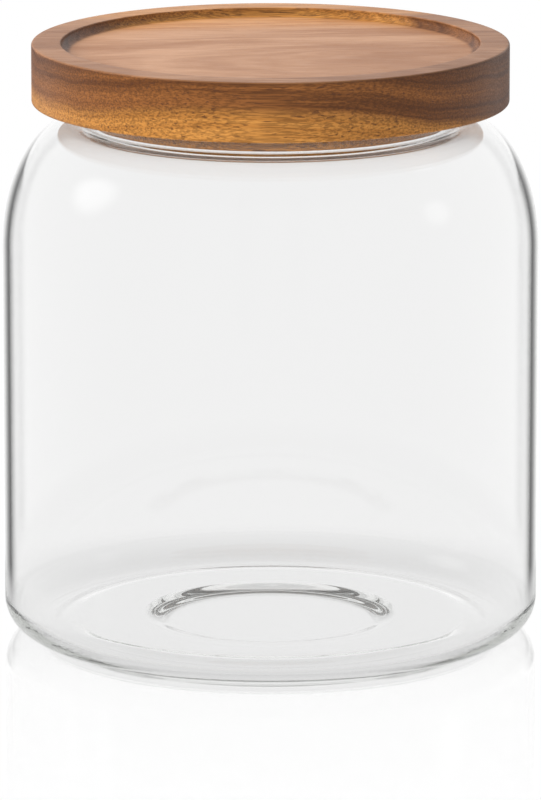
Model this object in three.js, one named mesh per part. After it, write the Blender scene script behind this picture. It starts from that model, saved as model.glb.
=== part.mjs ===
// Lidded glass canister: a blown glass jar, a turned wooden lid and the silicone ring that seals it.
// Millimetres, +Z up, origin at the centre of the circle that the jar stands on.

import * as THREE from 'three';

// ---- Driving dimensions -------------------------------------------------------------------

const SEGMENTS = 64; // facets round every turned piece
const FIT_GAP = 0.3; // clearance between pieces that touch on the real object

// Jar: the wall is one long cylinder, with a round heel below and an elliptical shoulder above.
const BODY_RADIUS = 74;
const WALL = 1.8;
const HEEL_RADIUS = 9.5;
const FOOT_RING_WIDTH = 3; // flat ring that meets the table
const SHOULDER_START_Z = 107.8;
const SHOULDER_REACH = 20; // how far the shoulder draws in
const SHOULDER_RISE = 35.8;
const NECK_RADIUS = 52.1;
const NECK_WALL = 2.1;
const NECK_FOLD = 0.4; // outer fold between shoulder and neck
const NECK_CORNER = 1.8; // inner corner between shoulder and neck
const SHOULDER_THICKENING = 0.2; // extra glass where the neck was drawn in

// Jar base: a sheet of glass that steps up from the foot ring, with a shallow round recess in its floor.
const BASE_THICKNESS = 2.6;
const DISH_RADIUS = 54; // inner end of the step that rises from the foot ring
const DISH_RISE = 1.2;
const RECESS_RADIUS = 36;
const RECESS_FLOOR_RADIUS = 27.5;
const RECESS_DEPTH = 1.5;

// Lid: one turned disc with a tray in its top and a grooved plug beneath.
const LID_RADIUS = 65.8;
const LID_THICKNESS = 16.5;
const LID_TOP_Z = 165;
const LID_EDGE = 0.7; // rounding of the outer edges
const TRAY_RADIUS = 57.7;
const TRAY_FLOOR_RADIUS = 54.7;
const TRAY_DEPTH = 2.5;
const TRAY_EDGE = 0.3;
const PLUG_RADIUS = 48.8;
const PLUG_DEPTH = 5.6;
const PLUG_CHAMFER = 0.4;
const GROOVE_RADIUS = 46.6;
const GROOVE_HEIGHT = 2.2;
const GROOVE_OFFSET = 0.5; // wood left between the groove and the lid's underside

// Seal: a band in the plug's groove with two lips that press on the inside of the neck.
const SEAL_BAND_WIDTH = 1.7;
const SEAL_LIP_ROOT = 0.7; // height of a lip where it leaves the band
const SEAL_LIP_TIP = 0.3; // height of its tip

// ---- Values that follow from them ---------------------------------------------------------

const LID_UNDERSIDE_Z = LID_TOP_Z - LID_THICKNESS;
const RIM_Z = LID_UNDERSIDE_Z - FIT_GAP;
const NECK_BORE_RADIUS = NECK_RADIUS - NECK_WALL;
const SHOULDER_TOP_Z = SHOULDER_START_Z + SHOULDER_RISE;
const SHOULDER_TOP_RADIUS = BODY_RADIUS - SHOULDER_REACH;

// ---- Outline helpers: points of a profile in the (radius, height) plane ---------------------

const point = (radius, z) => new THREE.Vector2(radius, z);

// Part of an ellipse about (radius, z), from one angle to another, in degrees.
function arc(radius, z, radialSize, heightSize, fromDegrees, toDegrees, steps) {
  const points = [];
  for (let i = 0; i <= steps; i++) {
    const angle = THREE.MathUtils.degToRad(THREE.MathUtils.lerp(fromDegrees, toDegrees, i / steps));
    points.push(point(radius + radialSize * Math.cos(angle), z + heightSize * Math.sin(angle)));
  }
  return points;
}

// A soft step between two levels, flat at both ends.
function softStep(fromRadius, fromZ, toRadius, toZ, steps) {
  const points = [];
  for (let i = 0; i <= steps; i++) {
    const eased = (1 - Math.cos((Math.PI * i) / steps)) / 2;
    points.push(point(THREE.MathUtils.lerp(fromRadius, toRadius, i / steps),
      THREE.MathUtils.lerp(fromZ, toZ, eased)));
  }
  return points;
}

// Turns a profile round the Z axis. The profile runs outwards along the bottom and back over the top.
function turned(name, profile, material) {
  const geometry = new THREE.LatheGeometry(profile, SEGMENTS);
  geometry.rotateX(Math.PI / 2);
  const mesh = new THREE.Mesh(geometry, material);
  mesh.name = name;
  return mesh;
}

// ---- Glass jar ----------------------------------------------------------------------------

function jarOutside() {
  const heelCentreRadius = BODY_RADIUS - HEEL_RADIUS;
  const foldRadius = NECK_RADIUS + NECK_FOLD;
  return [
    point(0, DISH_RISE),
    ...softStep(DISH_RADIUS, DISH_RISE, heelCentreRadius - FOOT_RING_WIDTH, 0, 5),
    ...arc(heelCentreRadius, HEEL_RADIUS, HEEL_RADIUS, HEEL_RADIUS, -90, 0, 6),
    ...arc(SHOULDER_TOP_RADIUS, SHOULDER_START_Z, SHOULDER_REACH, SHOULDER_RISE, 0, 90, 10),
    ...arc(foldRadius, SHOULDER_TOP_Z + NECK_FOLD, NECK_FOLD, NECK_FOLD, 270, 180, 2),
  ];
}

function jarRim() {
  const rimRound = NECK_WALL / 2;
  return arc(NECK_BORE_RADIUS + rimRound, RIM_Z - rimRound, rimRound, rimRound, 0, 180, 6);
}

function jarInside() {
  const innerRadius = BODY_RADIUS - WALL;
  const innerShoulderRise = SHOULDER_RISE - WALL - SHOULDER_THICKENING;
  const innerShoulderTopZ = SHOULDER_START_Z + innerShoulderRise;
  const cornerRadius = NECK_BORE_RADIUS + NECK_CORNER;
  const heelCentreRadius = BODY_RADIUS - HEEL_RADIUS;
  const innerHeel = HEEL_RADIUS - WALL;
  const floorZ = BASE_THICKNESS + DISH_RISE;
  const recessZ = floorZ - RECESS_DEPTH;
  return [
    ...arc(cornerRadius, innerShoulderTopZ + NECK_CORNER, NECK_CORNER, NECK_CORNER, 180, 270, 3),
    ...arc(SHOULDER_TOP_RADIUS, SHOULDER_START_Z,
      innerRadius - SHOULDER_TOP_RADIUS, innerShoulderRise, 90, 0, 8),
    ...arc(heelCentreRadius, BASE_THICKNESS + innerHeel, innerHeel, innerHeel, 0, -90, 5),
    ...softStep(heelCentreRadius - FOOT_RING_WIDTH, BASE_THICKNESS, DISH_RADIUS, floorZ, 5),
    ...softStep(RECESS_RADIUS, floorZ, RECESS_FLOOR_RADIUS, recessZ, 6),
    point(0, recessZ),
  ];
}

const clearGlass = new THREE.MeshStandardMaterial({
  color: 0xeef2f0, roughness: 0.02, metalness: 0, transparent: true, opacity: 0.35,
});

const glassJar = turned('glass_jar', [...jarOutside(), ...jarRim(), ...jarInside()], clearGlass);

// ---- Wooden lid ---------------------------------------------------------------------------

function lidProfile() {
  const plugBottomZ = LID_UNDERSIDE_Z - PLUG_DEPTH;
  const grooveTopZ = LID_UNDERSIDE_Z - GROOVE_OFFSET;
  const grooveBottomZ = grooveTopZ - GROOVE_HEIGHT;
  const edgeCentreRadius = LID_RADIUS - LID_EDGE;
  return [
    point(0, plugBottomZ),
    point(PLUG_RADIUS - PLUG_CHAMFER, plugBottomZ),
    point(PLUG_RADIUS, plugBottomZ + PLUG_CHAMFER),
    point(PLUG_RADIUS, grooveBottomZ),
    point(GROOVE_RADIUS, grooveBottomZ),
    point(GROOVE_RADIUS, grooveTopZ),
    point(PLUG_RADIUS, grooveTopZ),
    point(PLUG_RADIUS, LID_UNDERSIDE_Z),
    ...arc(edgeCentreRadius, LID_UNDERSIDE_Z + LID_EDGE, LID_EDGE, LID_EDGE, -90, 0, 3),
    ...arc(edgeCentreRadius, LID_TOP_Z - LID_EDGE, LID_EDGE, LID_EDGE, 0, 90, 3),
    ...arc(TRAY_RADIUS + TRAY_EDGE, LID_TOP_Z - TRAY_EDGE, TRAY_EDGE, TRAY_EDGE, 90, 180, 2),
    ...arc(TRAY_FLOOR_RADIUS, LID_TOP_Z - TRAY_EDGE,
      TRAY_RADIUS - TRAY_FLOOR_RADIUS, TRAY_DEPTH - TRAY_EDGE, 0, -90, 5).slice(1),
    point(0, LID_TOP_Z - TRAY_DEPTH),
  ];
}

const acacia = new THREE.MeshStandardMaterial({ color: 0x9a6236, roughness: 0.45, metalness: 0 });

const woodenLid = turned('wooden_lid', lidProfile(), acacia);

// ---- Seal ring ----------------------------------------------------------------------------

// The profile starts at the band's foot, runs up over both lips and closes down the band's back.
function sealProfile() {
  const backRadius = GROOVE_RADIUS + FIT_GAP;
  const bandRadius = backRadius + SEAL_BAND_WIDTH;
  const lipRadius = NECK_BORE_RADIUS - FIT_GAP;
  const topZ = LID_UNDERSIDE_Z - GROOVE_OFFSET - FIT_GAP;
  const bottomZ = topZ - GROOVE_HEIGHT + 2 * FIT_GAP;
  const lip = (lowZ) => [
    point(bandRadius, lowZ),
    point(lipRadius, lowZ + (SEAL_LIP_ROOT - SEAL_LIP_TIP) / 2),
    point(lipRadius, lowZ + (SEAL_LIP_ROOT + SEAL_LIP_TIP) / 2),
    point(bandRadius, lowZ + SEAL_LIP_ROOT),
  ];
  return [
    point(backRadius, bottomZ),
    ...lip(bottomZ),
    ...lip(topZ - SEAL_LIP_ROOT),
    point(backRadius, topZ),
    point(backRadius, bottomZ),
  ];
}

const silicone = new THREE.MeshStandardMaterial({
  color: 0xe9e8e3, roughness: 0.4, metalness: 0, transparent: true, opacity: 0.6,
});

const sealRing = turned('seal_ring', sealProfile(), silicone);

// ---- Assembly -----------------------------------------------------------------------------

const canister = new THREE.Group();
canister.add(glassJar, woodenLid, sealRing);

export default canister;
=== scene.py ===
"""Looks of the lidded glass canister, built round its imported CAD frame. Metres, +Z up, -Y to the front."""

import math

import bpy
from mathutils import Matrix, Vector


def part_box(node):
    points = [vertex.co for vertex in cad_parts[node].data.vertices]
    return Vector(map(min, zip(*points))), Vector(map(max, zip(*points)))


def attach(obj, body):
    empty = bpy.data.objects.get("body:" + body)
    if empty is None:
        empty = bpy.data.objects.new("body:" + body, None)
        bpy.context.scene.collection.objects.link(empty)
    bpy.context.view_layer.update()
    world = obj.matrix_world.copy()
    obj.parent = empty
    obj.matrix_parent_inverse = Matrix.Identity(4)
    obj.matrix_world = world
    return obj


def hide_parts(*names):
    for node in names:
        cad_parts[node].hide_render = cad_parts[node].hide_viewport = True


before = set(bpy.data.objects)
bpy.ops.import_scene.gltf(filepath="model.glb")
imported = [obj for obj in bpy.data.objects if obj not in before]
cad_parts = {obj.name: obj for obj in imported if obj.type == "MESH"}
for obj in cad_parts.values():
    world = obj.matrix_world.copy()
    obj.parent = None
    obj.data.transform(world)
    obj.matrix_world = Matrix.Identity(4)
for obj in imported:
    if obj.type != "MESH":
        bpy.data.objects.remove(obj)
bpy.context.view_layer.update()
MM = 0.001
WHITE = (1, 1, 1, 1)

# ---- Sizes that the frame gives -----------------------------------------------------------

JAR_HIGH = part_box("glass_jar")[1]
LID_LOW, LID_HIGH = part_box("wooden_lid")
SEAL_LOW, SEAL_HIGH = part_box("seal_ring")
BODY_RADIUS = JAR_HIGH.x
RIM_Z = JAR_HIGH.z
LID_RADIUS = LID_HIGH.x
LID_TOP_Z = LID_HIGH.z
PLUG_BOTTOM_Z = LID_LOW.z

# ---- Sizes inside the pieces --------------------------------------------------------------

WALL = 1.8 * MM
HEEL_RADIUS = 9.5 * MM
FOOT_RING_WIDTH = 3 * MM
SHOULDER_START_Z = 107.8 * MM
SHOULDER_REACH = 20 * MM
SHOULDER_RISE = 35.8 * MM
SHOULDER_THICKENING = 0.2 * MM
NECK_RADIUS = 52.1 * MM
NECK_WALL = 2.1 * MM
NECK_FOLD = 0.4 * MM
NECK_CORNER = 1.8 * MM
BASE_THICKNESS = 2.6 * MM
DISH_RADIUS = 54 * MM
DISH_RISE = 1.2 * MM
RECESS_RADIUS = 36 * MM
RECESS_FLOOR_RADIUS = 27.5 * MM
RECESS_DEPTH = 1.5 * MM

LID_THICKNESS = 16.5 * MM
LID_EDGE = 0.7 * MM
TRAY_RADIUS = 57.7 * MM
TRAY_FLOOR_RADIUS = 54.7 * MM
TRAY_DEPTH = 2.5 * MM
TRAY_EDGE = 0.3 * MM
PLUG_RADIUS = 48.8 * MM
PLUG_CHAMFER = 0.4 * MM
GROOVE_RADIUS = 46.6 * MM
GROOVE_HEIGHT = 2.2 * MM
GROOVE_OFFSET = 0.5 * MM

SEAL_BAND_WIDTH = 1.7 * MM
SEAL_LIP_ROOT = 0.7 * MM
FIT_GAP = 0.3 * MM

LID_UNDERSIDE_Z = LID_TOP_Z - LID_THICKNESS
NECK_BORE_RADIUS = NECK_RADIUS - NECK_WALL
SHOULDER_TOP_Z = SHOULDER_START_Z + SHOULDER_RISE
SHOULDER_TOP_RADIUS = BODY_RADIUS - SHOULDER_REACH

GLASS_SEGMENTS = 256
LID_SEGMENTS = 256
SEAL_SEGMENTS = 192


# ---- Turned meshes ------------------------------------------------------------------------

def arc(radius, z, radial_size, height_size, from_degrees, to_degrees, steps):
    """Points on part of an ellipse about (radius, z), in the (radius, height) plane."""
    points = []
    for i in range(steps + 1):
        angle = math.radians(from_degrees + (to_degrees - from_degrees) * i / steps)
        points.append((radius + radial_size * math.cos(angle), z + height_size * math.sin(angle)))
    return points


def soft_step(from_radius, from_z, to_radius, to_z, steps=24):
    """A step between two levels that is flat at both ends."""
    points = []
    for i in range(steps + 1):
        share = i / steps
        eased = (1 - math.cos(math.pi * share)) / 2
        points.append((from_radius + (to_radius - from_radius) * share, from_z + (to_z - from_z) * eased))
    return points


def line(start, end, steps):
    """Evenly spaced points strictly between two points."""
    return [tuple(a + (b - a) * i / steps for a, b in zip(start, end)) for i in range(1, steps)]


def turned(name, profile, segments, material, closed=False):
    """Turns a profile round the Z axis. Its end points lie on the axis unless it closes on itself."""
    rings = profile if closed else profile[1:-1]
    verts = []
    for radius, z in rings:
        for s in range(segments):
            angle = 2 * math.pi * s / segments
            verts.append((radius * math.cos(angle), radius * math.sin(angle), z))
    faces = []
    spans = len(rings) if closed else len(rings) - 1
    for i in range(spans):
        low, high = i * segments, (i + 1) % len(rings) * segments
        for s in range(segments):
            t = (s + 1) % segments
            faces.append((low + s, low + t, high + t, high + s))
    if not closed:
        first, last = len(verts), len(verts) + 1
        verts += [(0, 0, profile[0][1]), (0, 0, profile[-1][1])]
        top = (len(rings) - 1) * segments
        for s in range(segments):
            t = (s + 1) % segments
            faces.append((first, t, s))
            faces.append((last, top + s, top + t))
    mesh = bpy.data.meshes.new(name)
    mesh.from_pydata(verts, [], faces)
    mesh.shade_smooth()
    mesh.materials.append(material)
    piece = bpy.data.objects.new(name, mesh)
    bpy.context.scene.collection.objects.link(piece)
    return piece


# ---- Node helpers -------------------------------------------------------------------------

def new_material(name):
    """A material, its node tree and its Principled shader."""
    material = bpy.data.materials.new(name)
    material.use_nodes = True
    return material, material.node_tree, material.node_tree.nodes["Principled BSDF"]


class Nodes:
    """Short calls that add nodes to a tree and link what they are given."""

    def __init__(self, tree):
        self.tree = tree

    def add(self, kind, **settings):
        node = self.tree.nodes.new(kind)
        for name, value in settings.items():
            setattr(node, name, value)
        return node

    def feed(self, socket, value):
        if isinstance(value, bpy.types.NodeSocket):
            self.tree.links.new(value, socket)
        else:
            socket.default_value = value

    def math(self, operation, a, b=None, c=None, clamp=False):
        node = self.add("ShaderNodeMath", operation=operation, use_clamp=clamp)
        for socket, value in zip(node.inputs, (a, b, c)):
            if value is not None:
                self.feed(socket, value)
        return node.outputs[0]

    def smooth(self, value, low, high, to_low=0.0, to_high=1.0):
        """Smoothly maps value from low..high to to_low..to_high."""
        node = self.add("ShaderNodeMapRange", interpolation_type="SMOOTHSTEP")
        for socket, given in zip(node.inputs, (value, low, high, to_low, to_high)):
            self.feed(socket, given)
        return node.outputs["Result"]

    def vector(self, operation, a, b=None, output=0):
        node = self.add("ShaderNodeVectorMath", operation=operation)
        self.feed(node.inputs[0], a)
        if b is not None:
            self.feed(node.inputs[1], b)
        return node.outputs[output]

    def combine(self, x, y, z):
        node = self.add("ShaderNodeCombineXYZ")
        for socket, value in zip(node.inputs, (x, y, z)):
            self.feed(socket, value)
        return node.outputs[0]

    def separate(self, vector):
        node = self.add("ShaderNodeSeparateXYZ")
        self.feed(node.inputs[0], vector)
        return node.outputs

    def noise(self, vector, detail=2.0, roughness=0.5):
        """Noise whose cells are one unit of the given coordinates wide."""
        node = self.add("ShaderNodeTexNoise")
        self.feed(node.inputs["Vector"], vector)
        self.feed(node.inputs["Scale"], 1.0)
        self.feed(node.inputs["Detail"], detail)
        self.feed(node.inputs["Roughness"], roughness)
        return node.outputs["Fac"]

    def blend(self, factor, a, b):
        """Mixes two shaders."""
        node = self.add("ShaderNodeMixShader")
        for socket, value in zip(node.inputs, (factor, a, b)):
            self.feed(socket, value)
        return node.outputs[0]

    def mix(self, factor, a, b):
        """Mixes two colours."""
        node = self.add("ShaderNodeMix", data_type="RGBA")
        self.feed(node.inputs["Factor"], factor)
        self.feed(node.inputs["A"], a)
        self.feed(node.inputs["B"], b)
        return node.outputs["Result"]


# ---- Glass --------------------------------------------------------------------------------

GLASS_IOR = 1.47
GLASS_TINT = (0.61, 0.625, 0.60, 1)
GLASS_DENSITY = 14.0  # how fast the tint builds up, for each metre of glass


def glass_material():
    """Clear glass with a faint grey-green depth. Lamps shine straight through it."""
    material, tree, shader = new_material("clear_glass")
    nodes = Nodes(tree)
    shader.inputs["Base Color"].default_value = WHITE
    shader.inputs["Roughness"].default_value = 0.0
    shader.inputs["IOR"].default_value = GLASS_IOR
    shader.inputs["Transmission Weight"].default_value = 1.0
    absorption = nodes.add("ShaderNodeVolumeAbsorption")
    absorption.inputs["Color"].default_value = GLASS_TINT
    absorption.inputs["Density"].default_value = GLASS_DENSITY
    output = tree.nodes["Material Output"]
    tree.links.new(absorption.outputs[0], output.inputs["Volume"])
    lamp_ray = nodes.add("ShaderNodeLightPath").outputs["Is Shadow Ray"]
    clear = nodes.add("ShaderNodeBsdfTransparent").outputs[0]
    nodes.feed(output.inputs["Surface"], nodes.blend(lamp_ray, shader.outputs[0], clear))
    return material


# ---- Silicone -----------------------------------------------------------------------------

SILICONE_COLOUR = (0.93, 0.92, 0.9, 1)
SILICONE_ROUGHNESS = 0.2
SILICONE_IOR = 1.41
SILICONE_CLARITY = 0.95


def silicone_material():
    material, tree, shader = new_material("silicone")
    shader.inputs["Base Color"].default_value = SILICONE_COLOUR
    shader.inputs["Roughness"].default_value = SILICONE_ROUGHNESS
    shader.inputs["IOR"].default_value = SILICONE_IOR
    shader.inputs["Transmission Weight"].default_value = SILICONE_CLARITY
    return material


# ---- Acacia wood: its lengths are in millimetres --------------------------------------------

# The growth rings are centred on the pith, a line that runs along X above the lid.
PITH_Y = -22.0
PITH_ABOVE_LID = 130.0
RING_WANDER = 5.0  # width of the band in which noise moves a ring
RING_SLOPE = -0.04  # change in a place's ring for each millimetre along X
HEARTWOOD_RING = 142.8  # brown heartwood as far as this ring
SAPWOOD_RING = 147.2  # golden sapwood from this ring on

# Length along the grain and width across it of the noise cells, and the width of a streak across the rings.
WANDER_CELL = (70, 22)
STREAK_LENGTH = 90
STREAK_WIDTH = 2.6
FIBRE_CELL = (14, 0.45)
PORE_CELL = (5, 0.55)
PORE_OFFSET = 3.0  # along the grain, in cells, so that the pores don't follow the fibres

# The colours of a dark and a light streak in each shade of wood, and last in the painted sheen on the top of
# the lid.
GOLDEN = (0.31, 0.12, 0.022, 1), (0.50, 0.225, 0.052, 1)
BROWN = (0.07, 0.021, 0.004, 1), (0.22, 0.08, 0.02, 1)
# Painted sheen: a lighter, pinker wood colour that stands in for the sheen of light on the top of the lid.
PAINTED_SHEEN = (0.40, 0.17, 0.065, 1), (0.58, 0.32, 0.18, 1)
FIBRE_COLOUR = (0.03, 0.01, 0.003, 1)
PORE_COLOUR = (0.06, 0.02, 0.007, 1)

# How strongly each of these shows.
FIBRE_SHADE = 0.5
PORE_SHADE = 0.7
# Painted sheen: how far the tray's floor and the rim are painted lighter, in place of the sheen of light on
# them.
TRAY_PAINTED_SHEEN = 0.55
RIM_PAINTED_SHEEN = 0.3

# Noise levels between which a feature goes from nothing to full.
STREAK_RANGE = (0.3, 0.7)
# Streaks within the painted sheen on the top of the lid.
SHEEN_STREAK_RANGE = (0.35, 0.65)
FIBRE_RANGE = (0.41, 0.59)
PORE_RANGE = (0.61, 0.67)
SATIN_RANGE = (0.3, 0.7)

# Places between which the top of the lid goes from its own colour to the painted sheen: heights from the
# tray's floor, radii across it, and heights from the rim.
ABOVE_FLOOR = (0.6, 0.1)
BELOW_FLOOR = (-4, -3)
ACROSS_FLOOR = (56, 54.6)
FROM_RIM = (-0.5, -0.1)

SATIN = (0.36, 0.5)  # roughness off the fibres and on them
WOOD_SPECULAR = 0.27
FIBRE_HEIGHT = 0.4  # of a pore's depth
BUMP_STRENGTH = 0.35
BUMP_DEPTH = 0.15 * MM


def along_grain(nodes, place, cell, offset=0.0):
    """Noise coordinates that give cells of a length along the grain and a width across it."""
    x, y, z = place
    length, width = cell
    return nodes.combine(nodes.math("MULTIPLY_ADD", x, 1 / length, offset),
                         nodes.math("MULTIPLY", y, 1 / width), nodes.math("MULTIPLY", z, 1 / width))


def growth_ring(nodes, place):
    """Distance from the pith, with a slope along X and a slow wander."""
    x, y, z = place
    dy = nodes.math("SUBTRACT", y, PITH_Y)
    dz = nodes.math("SUBTRACT", z, LID_TOP_Z / MM + PITH_ABOVE_LID)
    squares = nodes.math("ADD", nodes.math("MULTIPLY", dy, dy), nodes.math("MULTIPLY", dz, dz))
    ring = nodes.math("SQRT", squares)
    wander = nodes.math("SUBTRACT", nodes.noise(along_grain(nodes, place, WANDER_CELL), detail=3), 0.5)
    ring = nodes.math("MULTIPLY_ADD", wander, RING_WANDER, ring)
    return nodes.math("MULTIPLY_ADD", x, RING_SLOPE, ring)


def painted_top_sheen(nodes, place):
    """Painted sheen on the top of the lid, a lighter colour that stands in for light: most on the tray's
    floor, less on the rim, none elsewhere.
    """
    x, y, z = place
    rim = LID_TOP_Z / MM
    floor_z = rim - TRAY_DEPTH / MM
    radius = nodes.vector("LENGTH", nodes.combine(x, y, 0.0), output="Value")
    # Painted sheen on the tray's floor, then on the rim.
    tray_sheen = nodes.math("MULTIPLY", nodes.smooth(z, *(floor_z + height for height in ABOVE_FLOOR)),
                         nodes.smooth(z, *(floor_z + height for height in BELOW_FLOOR)))
    tray_sheen = nodes.math("MULTIPLY", tray_sheen, nodes.smooth(radius, *ACROSS_FLOOR, 0.0, TRAY_PAINTED_SHEEN))
    rim_sheen = nodes.smooth(z, *(rim + height for height in FROM_RIM), 0.0, RIM_PAINTED_SHEEN)
    return nodes.math("MAXIMUM", tray_sheen, rim_sheen)


def wood_material():
    """Streaked brown heartwood and golden sapwood with fine fibres and open pores, under a satin oil."""
    material, tree, shader = new_material("acacia_wood")
    nodes = Nodes(tree)
    millimetres = nodes.vector("SCALE", nodes.add("ShaderNodeTexCoord").outputs["Object"])
    millimetres.node.inputs["Scale"].default_value = 1 / MM
    place = nodes.separate(millimetres)
    ring = growth_ring(nodes, place)

    streaks = nodes.noise(nodes.combine(nodes.math("MULTIPLY", place["X"], 1 / STREAK_LENGTH),
                                        nodes.math("MULTIPLY", ring, 1 / STREAK_WIDTH), 0.0),
                          detail=4, roughness=0.6)
    light_streak = nodes.smooth(streaks, *STREAK_RANGE)
    heartwood = nodes.smooth(ring, SAPWOOD_RING, HEARTWOOD_RING)
    colour = nodes.mix(heartwood, nodes.mix(light_streak, *GOLDEN), nodes.mix(light_streak, *BROWN))

    fibres = nodes.noise(along_grain(nodes, place, FIBRE_CELL), detail=3, roughness=0.65)
    colour = nodes.mix(nodes.smooth(fibres, *FIBRE_RANGE, 0.0, FIBRE_SHADE), colour, FIBRE_COLOUR)
    pores = nodes.smooth(nodes.noise(along_grain(nodes, place, PORE_CELL, PORE_OFFSET)), *PORE_RANGE)
    colour = nodes.mix(nodes.math("MULTIPLY", pores, PORE_SHADE), colour, PORE_COLOUR)
    # Painted sheen: the top of the lid is painted lighter and pinker, in place of the sheen of light on its
    # satin oil.
    sheen_colour = nodes.mix(nodes.smooth(streaks, *SHEEN_STREAK_RANGE), *PAINTED_SHEEN)
    nodes.feed(shader.inputs["Base Color"], nodes.mix(painted_top_sheen(nodes, place), colour, sheen_colour))

    shader.inputs["Specular IOR Level"].default_value = WOOD_SPECULAR
    nodes.feed(shader.inputs["Roughness"], nodes.smooth(fibres, *SATIN_RANGE, *SATIN))
    bump = nodes.add("ShaderNodeBump")
    bump.inputs["Strength"].default_value = BUMP_STRENGTH
    bump.inputs["Distance"].default_value = BUMP_DEPTH
    height = nodes.math("SUBTRACT", nodes.math("MULTIPLY", fibres, FIBRE_HEIGHT), pores)
    nodes.feed(bump.inputs["Height"], height)
    nodes.feed(shader.inputs["Normal"], bump.outputs[0])
    return material


# ---- Glass jar ----------------------------------------------------------------------------

def jar_profile():
    """Runs out along the underside, up the outside, over the rim, down the inside and in along the floor."""
    heel_centre = BODY_RADIUS - HEEL_RADIUS
    ring_inside = heel_centre - FOOT_RING_WIDTH
    inner_radius = BODY_RADIUS - WALL
    fold_radius = NECK_RADIUS + NECK_FOLD
    rim_round = NECK_WALL / 2
    corner_radius = NECK_BORE_RADIUS + NECK_CORNER
    inner_top = SHOULDER_START_Z + SHOULDER_RISE - WALL - SHOULDER_THICKENING
    inner_heel = HEEL_RADIUS - WALL
    floor_z = BASE_THICKNESS + DISH_RISE
    recess_z = floor_z - RECESS_DEPTH
    outside = [
        (0, DISH_RISE),
        *line((0, DISH_RISE), (DISH_RADIUS, DISH_RISE), steps=6),
        *soft_step(DISH_RADIUS, DISH_RISE, ring_inside, 0),
        *arc(heel_centre, HEEL_RADIUS, HEEL_RADIUS, HEEL_RADIUS, -90, 0, steps=20),
        *line((BODY_RADIUS, HEEL_RADIUS), (BODY_RADIUS, SHOULDER_START_Z), steps=12),
        *arc(SHOULDER_TOP_RADIUS, SHOULDER_START_Z, SHOULDER_REACH, SHOULDER_RISE, 0, 90, steps=32),
        *arc(fold_radius, SHOULDER_TOP_Z + NECK_FOLD, NECK_FOLD, NECK_FOLD, 270, 180, steps=8),
    ]
    rim = arc(NECK_BORE_RADIUS + rim_round, RIM_Z - rim_round, rim_round, rim_round, 0, 180, steps=12)
    inside = [
        *arc(corner_radius, inner_top + NECK_CORNER, NECK_CORNER, NECK_CORNER, 180, 270, steps=8),
        *arc(SHOULDER_TOP_RADIUS, SHOULDER_START_Z,
             inner_radius - SHOULDER_TOP_RADIUS, inner_top - SHOULDER_START_Z, 90, 0, steps=32),
        *line((inner_radius, SHOULDER_START_Z), (inner_radius, BASE_THICKNESS + inner_heel), steps=12),
        *arc(heel_centre, BASE_THICKNESS + inner_heel, inner_heel, inner_heel, 0, -90, steps=20),
        *soft_step(ring_inside, BASE_THICKNESS, DISH_RADIUS, floor_z),
        *soft_step(RECESS_RADIUS, floor_z, RECESS_FLOOR_RADIUS, recess_z),
        *line((RECESS_FLOOR_RADIUS, recess_z), (0, recess_z), steps=6),
        (0, recess_z),
    ]
    return outside + rim + inside


jar = turned("jar_glass", jar_profile(), GLASS_SEGMENTS, glass_material())
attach(jar, "jar")
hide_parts("glass_jar")


# ---- Wooden lid ---------------------------------------------------------------------------

def lid_profile():
    """Runs out along the plug's foot, up past its groove, out round the disc and in over the tray."""
    edge_centre = LID_RADIUS - LID_EDGE
    groove_top = LID_UNDERSIDE_Z - GROOVE_OFFSET
    groove_bottom = groove_top - GROOVE_HEIGHT
    tray_floor = LID_TOP_Z - TRAY_DEPTH
    return [
        (0, PLUG_BOTTOM_Z),
        (PLUG_RADIUS - 1.5 * PLUG_CHAMFER, PLUG_BOTTOM_Z),  # the foot's shading stays flat as far as here
        *arc(PLUG_RADIUS - PLUG_CHAMFER, PLUG_BOTTOM_Z + PLUG_CHAMFER,
             PLUG_CHAMFER, PLUG_CHAMFER, -90, 0, steps=4),
        (PLUG_RADIUS, groove_bottom),
        (GROOVE_RADIUS, groove_bottom),
        (GROOVE_RADIUS, groove_top),
        (PLUG_RADIUS, groove_top),
        (PLUG_RADIUS, LID_UNDERSIDE_Z),
        *line((PLUG_RADIUS, LID_UNDERSIDE_Z), (edge_centre, LID_UNDERSIDE_Z), steps=6),
        *arc(edge_centre, LID_UNDERSIDE_Z + LID_EDGE, LID_EDGE, LID_EDGE, -90, 0, steps=8),
        *line((LID_RADIUS, LID_UNDERSIDE_Z + LID_EDGE), (LID_RADIUS, LID_TOP_Z - LID_EDGE), steps=8),
        *arc(edge_centre, LID_TOP_Z - LID_EDGE, LID_EDGE, LID_EDGE, 0, 90, steps=8),
        *line((edge_centre, LID_TOP_Z), (TRAY_RADIUS + TRAY_EDGE, LID_TOP_Z), steps=6),
        *arc(TRAY_RADIUS + TRAY_EDGE, LID_TOP_Z - TRAY_EDGE, TRAY_EDGE, TRAY_EDGE, 90, 180, steps=6),
        *arc(TRAY_FLOOR_RADIUS, LID_TOP_Z - TRAY_EDGE,
             TRAY_RADIUS - TRAY_FLOOR_RADIUS, TRAY_DEPTH - TRAY_EDGE, 0, -90, steps=16)[1:],
        *line((TRAY_FLOOR_RADIUS, tray_floor), (0, tray_floor), steps=8),
        (0, tray_floor),
    ]


lid = turned("lid_wood", lid_profile(), LID_SEGMENTS, wood_material())
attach(lid, "lid")
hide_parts("wooden_lid")


# ---- Seal ring ----------------------------------------------------------------------------

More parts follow.
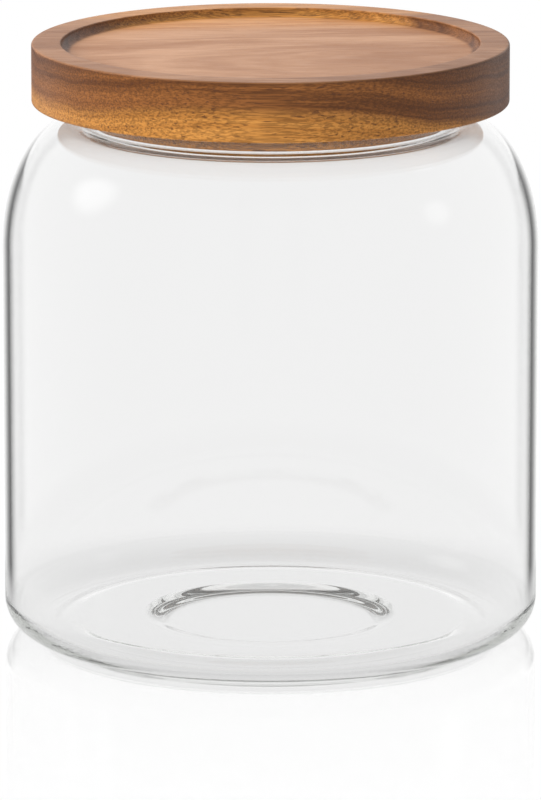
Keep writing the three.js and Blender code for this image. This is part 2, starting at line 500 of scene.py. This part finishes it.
def seal_profile():
    """A band with a round lip at its foot and one at its top."""
    back = GROOVE_RADIUS + FIT_GAP
    band = back + SEAL_BAND_WIDTH
    lip_reach = SEAL_HIGH.x - band
    half_lip = SEAL_LIP_ROOT / 2
    lips = []
    for centre in (SEAL_LOW.z + half_lip, SEAL_HIGH.z - half_lip):
        lips += arc(band, centre, lip_reach, half_lip, -90, 90, steps=10)
    return [(back, SEAL_LOW.z), *lips, (back, SEAL_HIGH.z)]


seal = turned("seal_silicone", seal_profile(), SEAL_SEGMENTS, silicone_material(), closed=True)
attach(seal, "seal")
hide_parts("seal_ring")

# ---- Floor --------------------------------------------------------------------------------

FLOOR_RADIUS = 0.30
FLOOR_TOP_Z = -0.02 * MM
FLOOR_LOW_Z = -1 * MM
FLOOR_SEGMENTS = 96

# Share of mirror in the floor's finish, and the radii where it starts to fade and is gone.
MIRROR = 0.62
MIRROR_FADES = 0.10
MIRROR_ENDS = 0.225

# All rays but the camera's find a floor in shade: its level, and the radii where it fades and is gone.
SHADED_LEVEL = 0.73
SHADED_FADES = 0.06
SHADED_ENDS = 0.13


def floor_material():
    """White, with a mirror finish that fades away from the object. Only the camera sees its outer part."""
    material, tree, shader = new_material("floor_white")
    tree.nodes.remove(shader)
    nodes = Nodes(tree)
    radius = nodes.vector("LENGTH", nodes.add("ShaderNodeTexCoord").outputs["Object"], output="Value")
    glow = nodes.add("ShaderNodeEmission").outputs[0]
    mirror = nodes.add("ShaderNodeBsdfGlossy")
    mirror.inputs["Roughness"].default_value = 0.0
    mirror.inputs["Color"].default_value = WHITE
    seen = nodes.blend(nodes.smooth(radius, MIRROR_FADES, MIRROR_ENDS, MIRROR, 0.0), glow, mirror.outputs[0])
    shaded = nodes.add("ShaderNodeEmission")
    shaded.inputs["Strength"].default_value = SHADED_LEVEL
    clear = nodes.add("ShaderNodeBsdfTransparent").outputs[0]
    unseen = nodes.blend(nodes.smooth(radius, SHADED_FADES, SHADED_ENDS), shaded.outputs[0], clear)
    surface = nodes.blend(nodes.add("ShaderNodeLightPath").outputs["Is Camera Ray"], unseen, seen)
    tree.links.new(surface, tree.nodes["Material Output"].inputs["Surface"])
    return material


floor_profile = [(0, FLOOR_LOW_Z), (FLOOR_RADIUS, FLOOR_LOW_Z),
                 (FLOOR_RADIUS, FLOOR_TOP_Z), (0, FLOOR_TOP_Z)]
floor = turned("floor", floor_profile, FLOOR_SEGMENTS, floor_material())
floor.data.shade_flat()

# ---- Studio -------------------------------------------------------------------------------
# Azimuths run from +Y, away from the camera, towards +X. Angles are in degrees, and heights are the z of a
# direction. The camera itself sees white all round.

DARK = 0.12  # share of light in the gaps between the screens and in those of the rear wall
ROOM_LIGHT = 0.35  # what the room lends to matt surfaces

# Seen straight through the glass: a white screen stands at every multiple of SECTOR, under a grey ceiling.
SECTOR = 45.0
SCREEN_FADES = 8.0  # half-angles at which a screen starts to fade and is gone
SCREEN_ENDS = 17.0
SCREEN_LEVEL = 0.89
CEILING_LEVEL = 0.4  # of a screen's
CEILING_START = 0.5
CEILING_FULL = 0.9

# Mirrored by the glass: walls that dim a little from the rear to the front, under a slightly dimmer roof.
SIDE_START = 60.0
SIDE_FULL = 125.0
SIDE_LEVEL = 0.92
ROOF_START = 0.55
ROOF_FULL = 0.8
ROOF_LEVEL = 0.9

# Also mirrored: a dark gap on each side of the rear wall, below the horizon, which draws the jar's outline.
GAP_START = 5.0
GAP_DEEPEST = 26.0
GAP_FADES = 25.0
GAP_ENDS = 37.0
GAP_TOP = 0.03

# Also mirrored: soft lights, each with its azimuth, elevation, half-angle and strength.
SOFT_LIGHTS = [(-84, 27, 15, 1.0), (97, 20.5, 9, 0.6), (61, 48.6, 6, 0.6)]


def direction(azimuth, elevation):
    turn = math.radians(azimuth)
    rise = math.radians(elevation)
    return Vector((math.sin(turn) * math.cos(rise), math.cos(turn) * math.cos(rise), math.sin(rise)))


def seen_through(nodes, azimuth, height):
    """Level of the room in a direction that the eye reaches straight through the glass."""
    off_screen = nodes.math("ABSOLUTE", nodes.math("WRAP", azimuth, SECTOR / 2, -SECTOR / 2))
    screens = nodes.smooth(off_screen, SCREEN_FADES, SCREEN_ENDS, 1.0, DARK)
    ceiling = nodes.smooth(height, CEILING_START, CEILING_FULL, 0.0, CEILING_LEVEL)
    return nodes.math("MULTIPLY", nodes.math("MAXIMUM", screens, ceiling), SCREEN_LEVEL)


def mirrored(nodes, toward, azimuth, height):
    """Level of the room in a direction that the eye reaches by a reflection."""
    off_axis = nodes.math("ABSOLUTE", azimuth)
    walls = nodes.smooth(off_axis, SIDE_START, SIDE_FULL, 1.0, SIDE_LEVEL)
    gap = nodes.math("MULTIPLY", nodes.smooth(off_axis, GAP_START, GAP_DEEPEST),
                     nodes.smooth(off_axis, GAP_FADES, GAP_ENDS, 1.0, 0.0))
    gap = nodes.math("MULTIPLY", gap, nodes.smooth(height, GAP_TOP, 0.0))
    walls = nodes.math("MULTIPLY", walls, nodes.math("MULTIPLY_ADD", gap, DARK - 1.0, 1.0))
    level = nodes.math("MULTIPLY", walls, nodes.smooth(height, ROOF_START, ROOF_FULL, 1.0, ROOF_LEVEL))
    for light_azimuth, elevation, half_angle, strength in SOFT_LIGHTS:
        near = nodes.vector("DOT_PRODUCT", toward, tuple(direction(light_azimuth, elevation)), "Value")
        patch = nodes.smooth(near, math.cos(math.radians(half_angle)), 1.0, 0.0, strength)
        level = nodes.math("ADD", level, patch)
    return level


def studio():
    """White for the camera, and for other rays by the way they came: through glass, off it or off wood."""
    world = bpy.data.worlds.new("studio")
    bpy.context.scene.world = world
    world.use_nodes = True
    tree = world.node_tree
    nodes = Nodes(tree)
    toward = nodes.add("ShaderNodeTexCoord").outputs["Generated"]
    x, y, z = nodes.separate(toward)
    azimuth = nodes.math("DEGREES", nodes.math("ARCTAN2", x, y))

    path = nodes.add("ShaderNodeLightPath").outputs
    bounced = nodes.math("GREATER_THAN", path["Glossy Depth"], 0.5)
    straight = nodes.math("SUBTRACT", path["Is Transmission Ray"], bounced, clamp=True)
    diffused = nodes.math("SUBTRACT", path["Is Diffuse Ray"], bounced, clamp=True)
    level = nodes.math("MULTIPLY", straight, seen_through(nodes, azimuth, z))
    level = nodes.math("MULTIPLY_ADD", bounced, mirrored(nodes, toward, azimuth, z), level)
    level = nodes.math("MULTIPLY_ADD", diffused, ROOM_LIGHT, level)
    level = nodes.math("ADD", path["Is Camera Ray"], level)
    nodes.feed(tree.nodes["Background"].inputs["Strength"], level)
    tree.nodes["Background"].inputs["Color"].default_value = WHITE


# ---- Lamps: round soft boxes that face the lid and light the wood ---------------------------

SOFT_BOX_SIZE = 0.6


def soft_box(name, place, power):
    light = bpy.data.lights.new(name, "AREA")
    light.shape = "DISK"
    light.size = SOFT_BOX_SIZE
    light.energy = power
    lamp = bpy.data.objects.new(name, light)
    lamp.location = place
    lamp.rotation_euler = (Vector((0, 0, LID_TOP_Z)) - lamp.location).to_track_quat("-Z", "Y").to_euler()
    lamp.visible_glossy = False
    lamp.visible_transmission = False
    lamp.visible_camera = False
    bpy.context.scene.collection.objects.link(lamp)


studio()
soft_box("key", (-1.0, -0.45, 0.6), 15.0)
soft_box("fill", (0.8, -0.6, 0.5), 1.0)
soft_box("bounce", (0, -0.9, -0.5), 12.0)
soft_box("back", (-0.7, 0.4, 1.0), 16.0)

# ---- Camera -------------------------------------------------------------------------------

CAMERA_DISTANCE = 2.100
CAMERA_HEIGHT = 0.5213
CAMERA_PITCH = 12.28
LENS_MM = 348.35
SENSOR_MM = 36.0
CLIP_END = 50.0

camera_data = bpy.data.cameras.new("camera")
camera_data.lens = LENS_MM
camera_data.sensor_width = SENSOR_MM
camera_data.clip_end = CLIP_END
camera = bpy.data.objects.new("camera", camera_data)
camera.location = (0, -CAMERA_DISTANCE, CAMERA_HEIGHT)
camera.rotation_euler = (math.radians(90 - CAMERA_PITCH), 0, 0)
bpy.context.scene.collection.objects.link(camera)
bpy.context.scene.camera = camera

# ---- Render -------------------------------------------------------------------------------

BOUNCES = 256  # light that runs inside the glass turns many times before it comes out

bpy.context.scene.view_settings.view_transform = "Standard"
bpy.context.scene.cycles.max_bounces = BOUNCES
bpy.context.scene.cycles.glossy_bounces = BOUNCES
bpy.context.scene.cycles.transmission_bounces = BOUNCES
